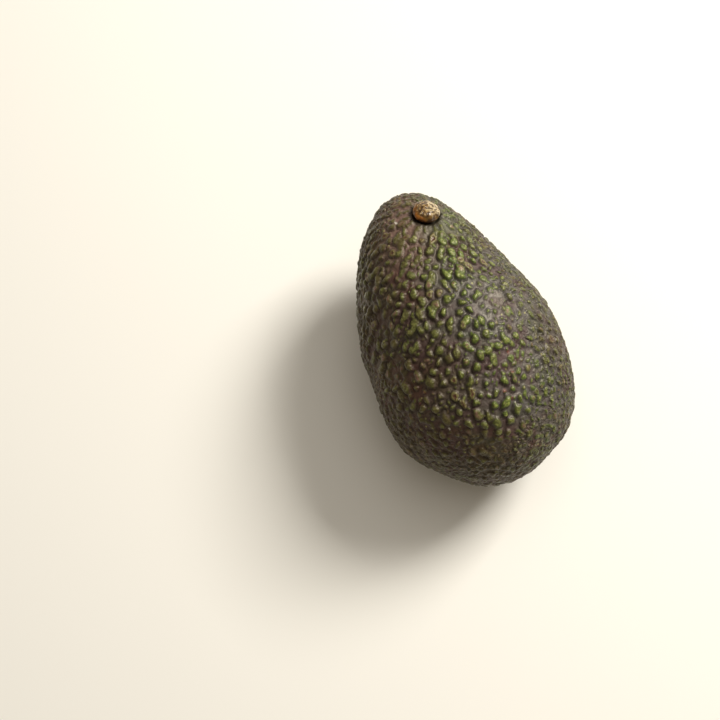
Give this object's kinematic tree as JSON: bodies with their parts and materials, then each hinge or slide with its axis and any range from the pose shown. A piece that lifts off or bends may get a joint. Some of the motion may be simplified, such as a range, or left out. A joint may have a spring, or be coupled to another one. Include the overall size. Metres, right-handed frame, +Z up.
{
  "type": "avocado",
  "caption": "Whole rough-skinned avocado lying on its side: pear-shaped pebbled fruit with a woody stalk button in its narrow end.",
  "frame": {"origin": "on the surface that the fruit lies on, under the middle of its bounding box", "axes": "+Z up; +Y along the fruit, from the blossom end to the narrow stem end; +X across it"},
  "size_m": [0.0664, 0.1016, 0.0616],
  "materials": {
    "rind": "waxy, dark purple-brown with green pebbles",
    "stalk_wood": "dried, cracked and slightly glossy"
  },
  "bodies": {
    "root": {"fruit": "rind", "stem_button": "stalk_wood"}
  },
  "joints": []
}
